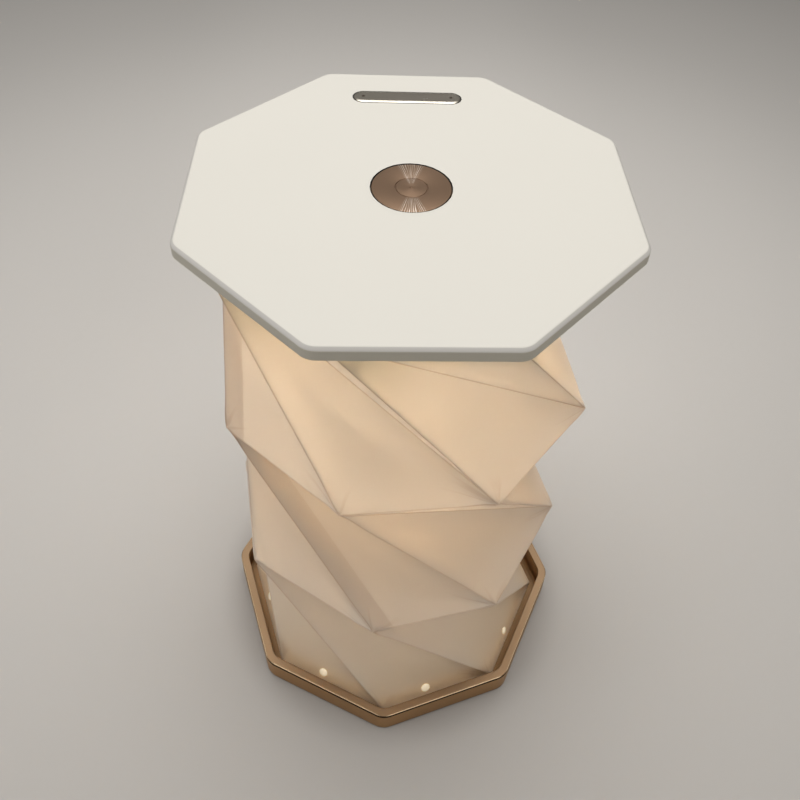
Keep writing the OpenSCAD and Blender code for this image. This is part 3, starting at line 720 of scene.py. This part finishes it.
# Draws of the ripples, (across, down, phase, strength) each, and of the puckers' phase at each corner
waves = np.random.default_rng(shade["seed"]).uniform(-1, 1, (7, 4))
puckers = np.random.default_rng(shade["seed"] + 1).uniform(0, 2 * pi, (4, 8))


# Height of a twisted tier: radius * the root of 2 - 4 * sin squared of half the turn; flat at 90 degrees
def tierHeight(turn):
    return shade["radius"] * sqrt(2 - 4 * sin(radians(turn) / 2) ** 2)


# Where (u, v), in sectors and tiers, lies on the flat sheet, in millimetres
def onSheet(u, v):
    return u * shade["side"] - v * shade["slant"], v * shade["flatHeight"]


# The corners of the folded tube at one level, the first one again as the last
def shadeRing(level):
    turn = radians(shade["turn"] + sum(shade["twists"][:level]))
    height = shade["top"] - sum(tierHeight(t) for t in shade["twists"][:level])
    a = turn + np.arange(9) * pi / 4
    out = np.stack([np.cos(a), np.sin(a), a * 0], -1)
    aside = np.stack([-np.sin(a), np.cos(a), a * 0], -1)
    ring = shade["radius"] * out + [0, 0, height]
    for k in range(9):
        move = shade["moved"].get((level, k % 8), (0, 0, 0))
        ring[k] += move[0] * out[k] + move[1] * aside[k] + [0, 0, move[2]]
    return ring


# Unit vectors straight out from the axis
def radial(points):
    flat = points * [1, 1, 0]
    return flat / np.linalg.norm(flat, axis=-1, keepdims=True)


# Slow ripples in the panels: a sum of slanting sine waves, times a fade that is nought at each crease
def filmWave(level, k, s, t):
    x, y = onSheet(k + s, level + t)
    length = shade["waveLength"]
    total = sum(sin(9 * strength) * np.sin((x * across + y * down) * 2 * pi / length + 7 * phase + k)
                for across, down, phase, strength in waves)
    fromRidge = np.minimum(s, 1 - s) * shade["ridgeSpacing"]
    fromRing = np.minimum(t, 1 - t) * shade["flatHeight"]
    edge = np.minimum(np.abs(s - t) * shade["valleyScale"], np.minimum(fromRidge, fromRing))
    return shade["wave"] * total / 2 * np.clip(edge / shade["waveFade"], 0, 1) ** 1.5


# Small puckers round each corner of the rings: a sine of the angle times d * exp(-d * d), with d the distance
# over crumpleReach
def crumple(level, k, s, t):
    total = 0.0
    for ds in (0, 1):
        for dt in (0, 1):
            x, y = onSheet(s - ds, t - dt)
            away, angle = np.hypot(x, y) / shade["crumpleReach"], np.arctan2(y, x)
            size = away * np.exp(-away ** 2)
            if 0 < level + dt < 3:   # the hems are held flat by their rings
                turns = shade["puckersRound"] * angle + puckers[level + dt, (k + ds) % 8]
                total = total + size * np.sin(turns)
    return shade["crumple"] * total


# The film on one tier, by sectors. (s, t) are the sheet's own axes: s along the hem, t down the ridge. Where
# s >= t a point lies on the hanging triangle V0 V1 W1, else on the standing one V0 W0 W1; each is bowed by 27
# times the product of its barycentric shares, which is one at its middle.
def tierPoints(level, across, down):
    upper, lower = shadeRing(level), shadeRing(level + 1)
    s, t = across[None, :, None], down[:, None, None]
    least, most = np.minimum(s, t), np.maximum(s, t)
    bow = np.where(s >= t, -shade["bowIn"], shade["bowOut"]) * 27 * least * (most - least) * (1 - most)
    made = []
    for k in range(8):
        v0, v1, w0, w1 = upper[k], upper[k + 1], lower[k], lower[k + 1]
        hanging = v0 + s * (v1 - v0) + t * (w1 - v1)
        standing = v0 + t * (w0 - v0) + s * (w1 - w0)
        normals = [n / np.linalg.norm(n) for n in (np.cross(w1 - v0, v1 - v0), np.cross(w0 - v0, w1 - v0))]
        normal = np.where(s >= t, *normals)
        points = np.where(s >= t, hanging, standing) + bow * normal
        points = points + filmWave(level, k, s, t) * normal
        made.append(points + crumple(level, k, s, t) * radial(points))
    return made


# Knots from 0 to 1 that crowd towards both ends: x - crowd * sin(2 pi x) / (2 pi)
def crowded(cells):
    x = np.linspace(0, 1, cells + 1)
    return x - shade["crowd"] * np.sin(2 * pi * x) / (2 * pi)


# Tiers one under the other; each but the last gives up its lowest row, with which the next one starts
def stacked(tiers):
    return np.concatenate([tier[:-1] for tier in tiers[:-1]] + [tiers[-1]], 0)


# Outer skin, inner skin and hems of film whose points lie on a (rows, columns) grid
def filmShell(outer, inner, closed):
    rows, columns = outer.shape[:2]
    lift = rows * columns
    index = np.arange(lift).reshape(rows, columns)
    if closed:   # the first column again as the last
        index = np.concatenate([index, index[:, :1]], 1)
    a, b, c, d = index[:-1, :-1], index[:-1, 1:], index[1:, 1:], index[1:, :-1]
    front = [np.stack([a, d, c], -1), np.stack([a, c, b], -1)]   # split along the valley's own direction
    back = [f[..., ::-1] + lift for f in front]
    topEdge = np.stack([a[:1], b[:1], b[:1] + lift, a[:1] + lift], -1)
    lowEdge = np.stack([d[-1:] + lift, c[-1:] + lift, c[-1:], d[-1:]], -1)
    faces = [f.reshape(-1, 3).tolist() for f in front + back]
    quads = [e.reshape(-1, 4).tolist() for e in (topEdge, lowEdge)]
    if not closed:
        left = np.stack([a[:, 0] + lift, d[:, 0] + lift, d[:, 0], a[:, 0]], -1)
        right = np.stack([b[:, -1], c[:, -1], c[:, -1] + lift, b[:, -1] + lift], -1)
        quads += [left.tolist(), right.tolist()]
    return np.concatenate([outer.reshape(-1, 3), inner.reshape(-1, 3)]), sum(faces, []) + sum(quads, [])


# Unit normals of a grid surface, from the differences between neighbours
def gridNormals(grid, closed):
    along = (np.roll(grid, -1, 1) - np.roll(grid, 1, 1)) if closed else np.gradient(grid, axis=1)
    normal = np.cross(np.gradient(grid, axis=0), along)
    return normal / np.linalg.norm(normal, axis=-1, keepdims=True)


# Pairs are the limits of an eased step, in tiers or sectors, or in millimetres from a crease or a corner
film = {
    "rough": 0.6, "roughDrift": 0.2, "bump": 0.00006, "bumpStrength": 0.6,
    "fibre": 1.4, "blotch": 26.0, "fibreInMottle": 0.35, "fibreInBump": 0.4,
    "dark": (0.93, 0.832, 0.725), "pale": (0.96, 0.88, 0.785), "foldAndShadeColour": (0.70, 0.555, 0.42),
    # painted light: the paper is tinted towards painted shade near the tray and towards a painted glow near
    # the lid
    "paintedShadeLow": (0.95, 0.82, 0.62), "paintedShadeLowOver": (2.35, 3.0), "paintedGlowTop": (0.97, 0.885, 0.62),
    "paintedGlowTopOver": (0.05, 0.4), "paintedWarmth": 0.5, "through": (0.975, 0.94, 0.88),
    "creased": 0.23, "glued": 0.75,   # shares of light let through by the film and by its overlap
    "foldHalf": (0.2, 0.8), "valleyNarrower": 1.6, "seamEnd": (0.0, 0.02), "seamSide": (-0.1, 0.1),
    "seamSoft": 0.15, "facetStep": (-0.006, 0.006),
    # crinkles round each corner: how their noise is laid, and where they are
    "fanTurn": 1.3, "fanPlace": (3.7, 5.3), "fanOut": 0.012, "crinkleHalf": (0.1, 0.42),
    "crinkleEnd": (5.0, 21.0), "crinkleStart": (0.5, 2.0),
    # fold and crinkle marks are partly real creasing and partly painted shade; the hanging facet's tone is
    # painted shade
    "tones": (0.5, 0.27, 0.3, 0.16),   # how far fold, seam, crinkle and hanging facet go to foldAndShadeColour
    # painted light and shade: what adds to the share of light let through or takes from it
    "clearer": 0.07, "clearerFrom": (0.8, 1.3), "clearerTo": (2.0, 2.5), "clearerLoss": 0.6,
    "topGain": 0.02, "topGainOver": (0.0, 0.5), "hangingLoss": 0.085, "mottleGain": 0.09,
    "foldLoss": 0.1, "crinkleLoss": 0.06,
    "lowTiers": (0.9, 1.1), "lastTier": (1.95, 2.1), "middleGain": 0.01,
    "ridgeGain": 0.03, "ridgeStrip": (0.0, 0.28), "valleyLoss": 0.04, "valleyStrip": (0.02, 0.24),
}


# 1 on creases: where ridge, ring or valley is closer than foldHalf; their darker tone is partly real scoring
#               and partly painted shade in the fold
def foldMark(s, t):
    ridge, ring = s.least(1 - s) * shade["ridgeSpacing"], t.least(1 - t) * shade["flatHeight"]
    valley = abs(s - t) * shade["valleyScale"]
    return ridge.least(ring).least(valley * film["valleyNarrower"]).fall(*film["foldHalf"])


# 1 on the band where the sheet overlaps itself, on its upper tiers
def seamMark(u, v):
    along = (u - shade["seamSector"]) * shade["ridgeSpacing"]
    width, soft = shade["seamWidth"], film["seamSoft"]
    above = (shade["seamTiers"] - v).rise(*film["seamEnd"])
    return above * along.rise(*film["seamSide"]) * along.fall(width - soft, width + soft)


# 1 on fine lines that fan out from each corner, where noise laid round it is near a half; their darker tone
# is partly real crinkling and partly painted shade
def crinkleMark(finish, u, v):
    wholeU, wholeV = u.whole(), v.whole()
    x, y = onSheet(u - wholeU, v - wholeV)
    reach = (x * x + y * y) ** 0.5
    placeU, placeV = film["fanPlace"]
    where = finish.joined(y.angleOver(x) * film["fanTurn"], wholeU * placeU,
                          wholeV * placeV + reach * film["fanOut"])
    fan = finish.cloud(1.0, detail=1.0, where=where)
    lines = (abs(fan - 0.5) * reach).fall(*film["crinkleHalf"])
    return lines * reach.fall(*film["crinkleEnd"]) * reach.rise(*film["crinkleStart"])


# Painted light and shade on standing facets: more light beside a ridge, doubled in the middle tier, and less
# beside a valley, doubled in both lower tiers
def softShade(s, t, v, seam, hanging):
    below = v.rise(*film["lowTiers"])
    middleTier = below * v.fall(*film["lastTier"])
    besideValley = (t - s).fall(*film["valleyStrip"])
    besideRidge = s.fall(*film["ridgeStrip"]) * (1 - seam)
    gain = besideRidge * film["ridgeGain"] * (1 + middleTier)
    loss = besideValley * film["valleyLoss"] * (1 + below)
    return (gain - loss + middleTier * film["middleGain"]) * (1 - hanging)


# Mottled paper, mapped by the sheet's (u, v): a painted glow near the lid and painted shade near the tray,
# darker on marks, painted shade on hanging facets, and it lets light through
def paperFilm(name, openness):
    finish = Finish(name, Specular_IOR_Level=0.25)
    u, v = finish.firstTwo(finish.add("ShaderNodeUVMap", {"uv_map": "sheet"}))
    s, t = u.fraction(), v.fraction()
    fold, seam, crinkle = foldMark(s, t), seamMark(u, v), crinkleMark(finish, u, v)
    # painted shade: the facets that lean inwards get a darker tone and let less light through
    hanging = (s - t).rise(*film["facetStep"])   # the facets that lean inwards show less light
    sheet = finish.joined(*onSheet(u, v))
    fibre = finish.cloud(film["fibre"], detail=5.0, rough=0.65, where=sheet)
    blotch = finish.cloud(film["blotch"], detail=3.0, where=sheet)
    inMottle, inBump = film["fibreInMottle"], film["fibreInBump"]
    mottle = fibre * inMottle + blotch * (1 - inMottle)
    paper = finish.tint(mottle, film["dark"], film["pale"])
    paper = finish.tint(v.rise(*film["paintedShadeLowOver"]) * film["paintedWarmth"], paper, film["paintedShadeLow"])
    paper = finish.tint(v.fall(*film["paintedGlowTopOver"]) * film["paintedWarmth"], paper, film["paintedGlowTop"])
    marks = sum(mark * tone for mark, tone in zip((fold, seam, crinkle, hanging), film["tones"]))
    finish.feed(
        Base_Color=finish.tint(marks.least(1.0), paper, film["foldAndShadeColour"]),
        Roughness=film["rough"] + (fibre - 0.5) * film["roughDrift"],
        Normal=finish.bump(fibre * inBump + blotch * (1 - inBump), film["bump"], film["bumpStrength"]))
    # painted light and shade in the share let through: a clearer middle tier, a gain under the lid, losses on
    # hanging facets, folds and crinkles
    clearer = v.rise(*film["clearerFrom"]) * (1 - v.rise(*film["clearerTo"]) * film["clearerLoss"])
    share = openness + clearer * film["clearer"] + v.fall(*film["topGainOver"]) * film["topGain"]
    share = share - hanging * film["hangingLoss"] + (mottle - 0.5) * film["mottleGain"]
    share = share - fold * film["foldLoss"] - crinkle * film["crinkleLoss"]
    return finish.letThrough(share + softShade(s, t, v, seam, hanging), film["through"]).material


# Gives each corner of a face its place on the sheet, the same on both skins
def addSheetMap(piece, u, v, closed):
    layer = piece.data.uv_layers.new(name="sheet")
    corner = np.zeros(len(piece.data.loops), np.int32)
    piece.data.loops.foreach_get("vertex_index", corner)
    half = corner % len(u)
    cu, cv = u[half].astype(float), v[half].astype(float)
    if closed:   # the last column's faces run on to u = 8, not back to 0
        start = np.zeros(len(piece.data.polygons), np.int32)
        total = np.zeros(len(piece.data.polygons), np.int32)
        piece.data.polygons.foreach_get("loop_start", start)
        piece.data.polygons.foreach_get("loop_total", total)
        owner = np.repeat(np.arange(len(start)), total)
        top = np.maximum.reduceat(cu, start)[owner]
        cu = np.where((top - cu) > 4, cu + 8, cu)
    layer.data.foreach_set("uv", np.stack([cu, cv], -1).astype(np.float32).ravel())


# A piece of film between two grids of points, mapped by the u of its columns and the v of its rows
def layFilm(name, paper, outer, inner, u, v, closed):
    points, faces = filmShell(outer * mm, inner * mm, closed)
    piece = makePiece(name, points, faces, paper, "base", "shade_film", sharp=14)
    addSheetMap(piece, np.tile(u, outer.shape[0]), np.repeat(v, outer.shape[1]), closed)
    return piece


# The closed tube of film, eight sectors round and three tiers down
def makeFilm(knots):
    tiers = [tierPoints(level, knots, knots) for level in range(3)]
    outer = stacked([np.concatenate([one[:, :-1] for one in sectors], 1) for sectors in tiers])
    inner = outer - gridNormals(outer, True) * shade["wall"]
    inner[0, :, 2], inner[-1, :, 2] = outer[0, :, 2], outer[-1, :, 2]
    u, v = np.concatenate([k + knots[:-1] for k in range(8)]), stacked([level + knots for level in range(3)])
    piece = layFilm("shadeFilm", paperFilm("creasedFilm", film["creased"]), outer, inner, u, v, True)
    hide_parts("shade")
    return piece


# The overlap where the sheet is glued to itself, just inside the film along one ridge
def makeSeam(knots):
    levels, width = range(shade["seamTiers"]), shade["seamWidth"] / shade["ridgeSpacing"]
    across = np.linspace(shade["seamStart"], width, shade["seamCells"] + 1)
    strip = stacked([tierPoints(level, across, knots)[shade["seamSector"]] for level in levels])
    normal, inwards = gridNormals(strip, False), shade["wall"] + shade["seamGap"]
    near, far = strip - normal * inwards, strip - normal * (inwards + shade["seamWall"])
    u, v = shade["seamSector"] + across, stacked([level + knots for level in levels])
    return layFilm("shadeSeam", paperFilm("gluedFilm", film["glued"]), near, far, u, v, False)


# Film and overlap, each with a mesh of its own
def makeShade():
    knots = crowded(shade["cells"])
    piece = makeFilm(knots)
    seam = makeSeam(knots)
    for one in (piece, seam):
        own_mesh(one)


makeShade()
print("shade folded")


# Rivets

# up and shift run over the facet from the middle of its lower edge; sunk is how deep the shank goes
rivet = {
    "head": 4.7, "height": 1.0, "up": 6.0, "shift": 6.8, "shank": 1.2, "sunk": 1.9, "base": 0.1, "lip": 0.12,
    # colours are the caps' cream; glows and glow are a painted glow, as if lit from inside
    "tip": 0.02, "colours": [(0.93, 0.84, 0.68), (0.97, 0.90, 0.76)], "glow": 0.5,
    "glows": [(1.0, 0.80, 0.52), (1.0, 0.86, 0.62)],
}


# A shank and a dome about the axis; the dome is part of a ball of radius (r * r + h * h) / (2 * h)
def rivetShape():
    r, h, shank, base = rivet["head"] / 2, rivet["height"], rivet["shank"], rivet["base"]
    ball = (r * r + h * h) / (2 * h)
    x = r * np.sin(np.linspace(pi / 2, rivet["tip"], 9))
    dome = np.stack([x, np.sqrt(ball ** 2 - x ** 2) + h - ball + base], -1)
    profile = np.concatenate([[[shank, -rivet["sunk"]], [shank, base], [r - rivet["lip"], base]], dome])
    return solidFrom(lathe(profile, steps=32) / mm, False)


# Eight rivets on the lowest facets, each along the normal of its facet, which leans in by lean
def makeRivets():
    one, faces = rivetShape()
    twist, radius = shade["twists"][-1], shade["radius"]
    lean = atan2(cos(pi / 8) - cos(radians(twist) + pi / 8), tierHeight(twist) / radius)
    points, allFaces = [], []
    for k in range(8):
        a = radians(tray["turn"] + sector / 2 + sector * k)   # the middle of the facet
        away, vertical = np.array([cos(a), sin(a), 0]), np.array([0, 0, 1])
        out = cos(lean) * away + sin(lean) * vertical
        up = cos(lean) * vertical - sin(lean) * away
        side = np.cross(up, out)
        foot = radius * cos(pi / 8) * away + shade["foot"] * vertical
        centre = foot - side * rivet["shift"] + up * rivet["up"]
        points.append(centre + one[:, :1] * side + one[:, 1:2] * up + one[:, 2:] * out)
        allFaces += [[i + k * len(one) for i in f] for f in faces]
    # painted glow: the cream caps give off light as if the lamp inside shone through them
    creamWithPaintedGlow = luminous("rivetCapWithPaintedGlow", 0.3, 0.002, rivet["colours"], rivet["glows"], rivet["glow"]).material
    points = np.concatenate(points) * mm
    allFaces = facingOut(points, allFaces)
    piece = makePiece("rivetCaps", points, allFaces, creamWithPaintedGlow, "base", "rivet_plastic", sharp=40)
    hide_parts("shade_rivets")


makeRivets()
print("rivets set")


# Finishes of the CAD nodes that stay

# Colours and strengths of what glows: the lens is the lamp, and the cup and the lower hem ring wear painted
# glow
light = {
    "colour": (1.0, 0.87, 0.70), "hemColour": (1.0, 0.78, 0.55), "drift": 0.06, "lens": 124.0, "cupPaintedGlow": 1.0,
    "hem": 0.75, "milk": (0.93, 0.89, 0.82), "milkDrift": 0.03,
    "whites": [(0.90, 0.88, 0.82), (0.94, 0.92, 0.86)],
}


# A white that gives off light of that colour
def glowing(name, colour, strength):
    return luminous(name, 0.35, 0.01, light["whites"], spread(colour, 0, light["drift"]), strength).material


# Thin white plastic that lets a share of the light through, and may glow
def milky(name, share, glow, strength):
    whites = spread(light["milk"], light["milkDrift"], light["milkDrift"])
    finish = luminous(name, 0.5, 0.004, whites, spread(glow, 0, light["drift"]), strength)
    return finish.letThrough(share, light["milk"]).material


# Each finish and the nodes that wear it
worn = [
    (moulded("powderCoat", (0.84, 0.82, 0.78), 0.5, grain=0.0009, depth=0.00002), ["weight_plate"]),
    (brushed("zincSteel", (0.55, 0.55, 0.54), 0.35),
     ["weight_screws", "base_magnets", "head_magnets", "cover_screws", "hub_screws"]),
    (moulded("darkRubber", (0.035, 0.034, 0.033), 0.75, grain=0.0011, depth=0.00003), ["base_pad"]),
    (blackPlasticAndGapShade, ["tact_switch", "button_seat", "switch_plunger"]),
    (moulded("solderMask", (0.02, 0.13, 0.06), 0.3, grain=0.0015), ["control_board", "charge_board"]),
    (moulded("whiteBoard", (0.82, 0.82, 0.80), 0.35), ["led_board"]),
    (moulded("chipGel", (0.95, 0.78, 0.30), 0.25), ["leds"]),
    # painted glow: the lower hem ring gives off light to brighten the film near the tray
    (milky("hemWithPaintedGlow", 0.3, light["hemColour"], light["hem"]), ["lower_hem_ring"]),
    (milky("milkyMoulding", 0.5, light["colour"], 0.0), ["upper_hem_ring"]),
    (whiteMoulding, ["plate_cover"]),
    (brushed("pinMetal", (0.16, 0.13, 0.10), 0.35), ["name_plate_pins"]),
    (brushed("batteryFoil", (0.66, 0.67, 0.69), 0.3, size=0.003, depth=0.00003), ["battery"]),
    (moulded("amberFilm", (0.45, 0.26, 0.06), 0.3), ["ribbon_cable"]),
    (brushed("socketNickel", (0.66, 0.64, 0.61), 0.22), ["usb_socket"]),
    (glowing("lensGlow", light["colour"], light["lens"]), ["diffuser"]),
    # painted glow: the cup gives off light as if the LEDs shone through its wall
    (glowing("cupWithPaintedGlow", light["colour"], light["cupPaintedGlow"]), ["hub_cup"]),
]
for material, names in worn:
    for name in names:
        for slot in nodes[name].material_slots:
            slot.material = material
print("CAD nodes finished")
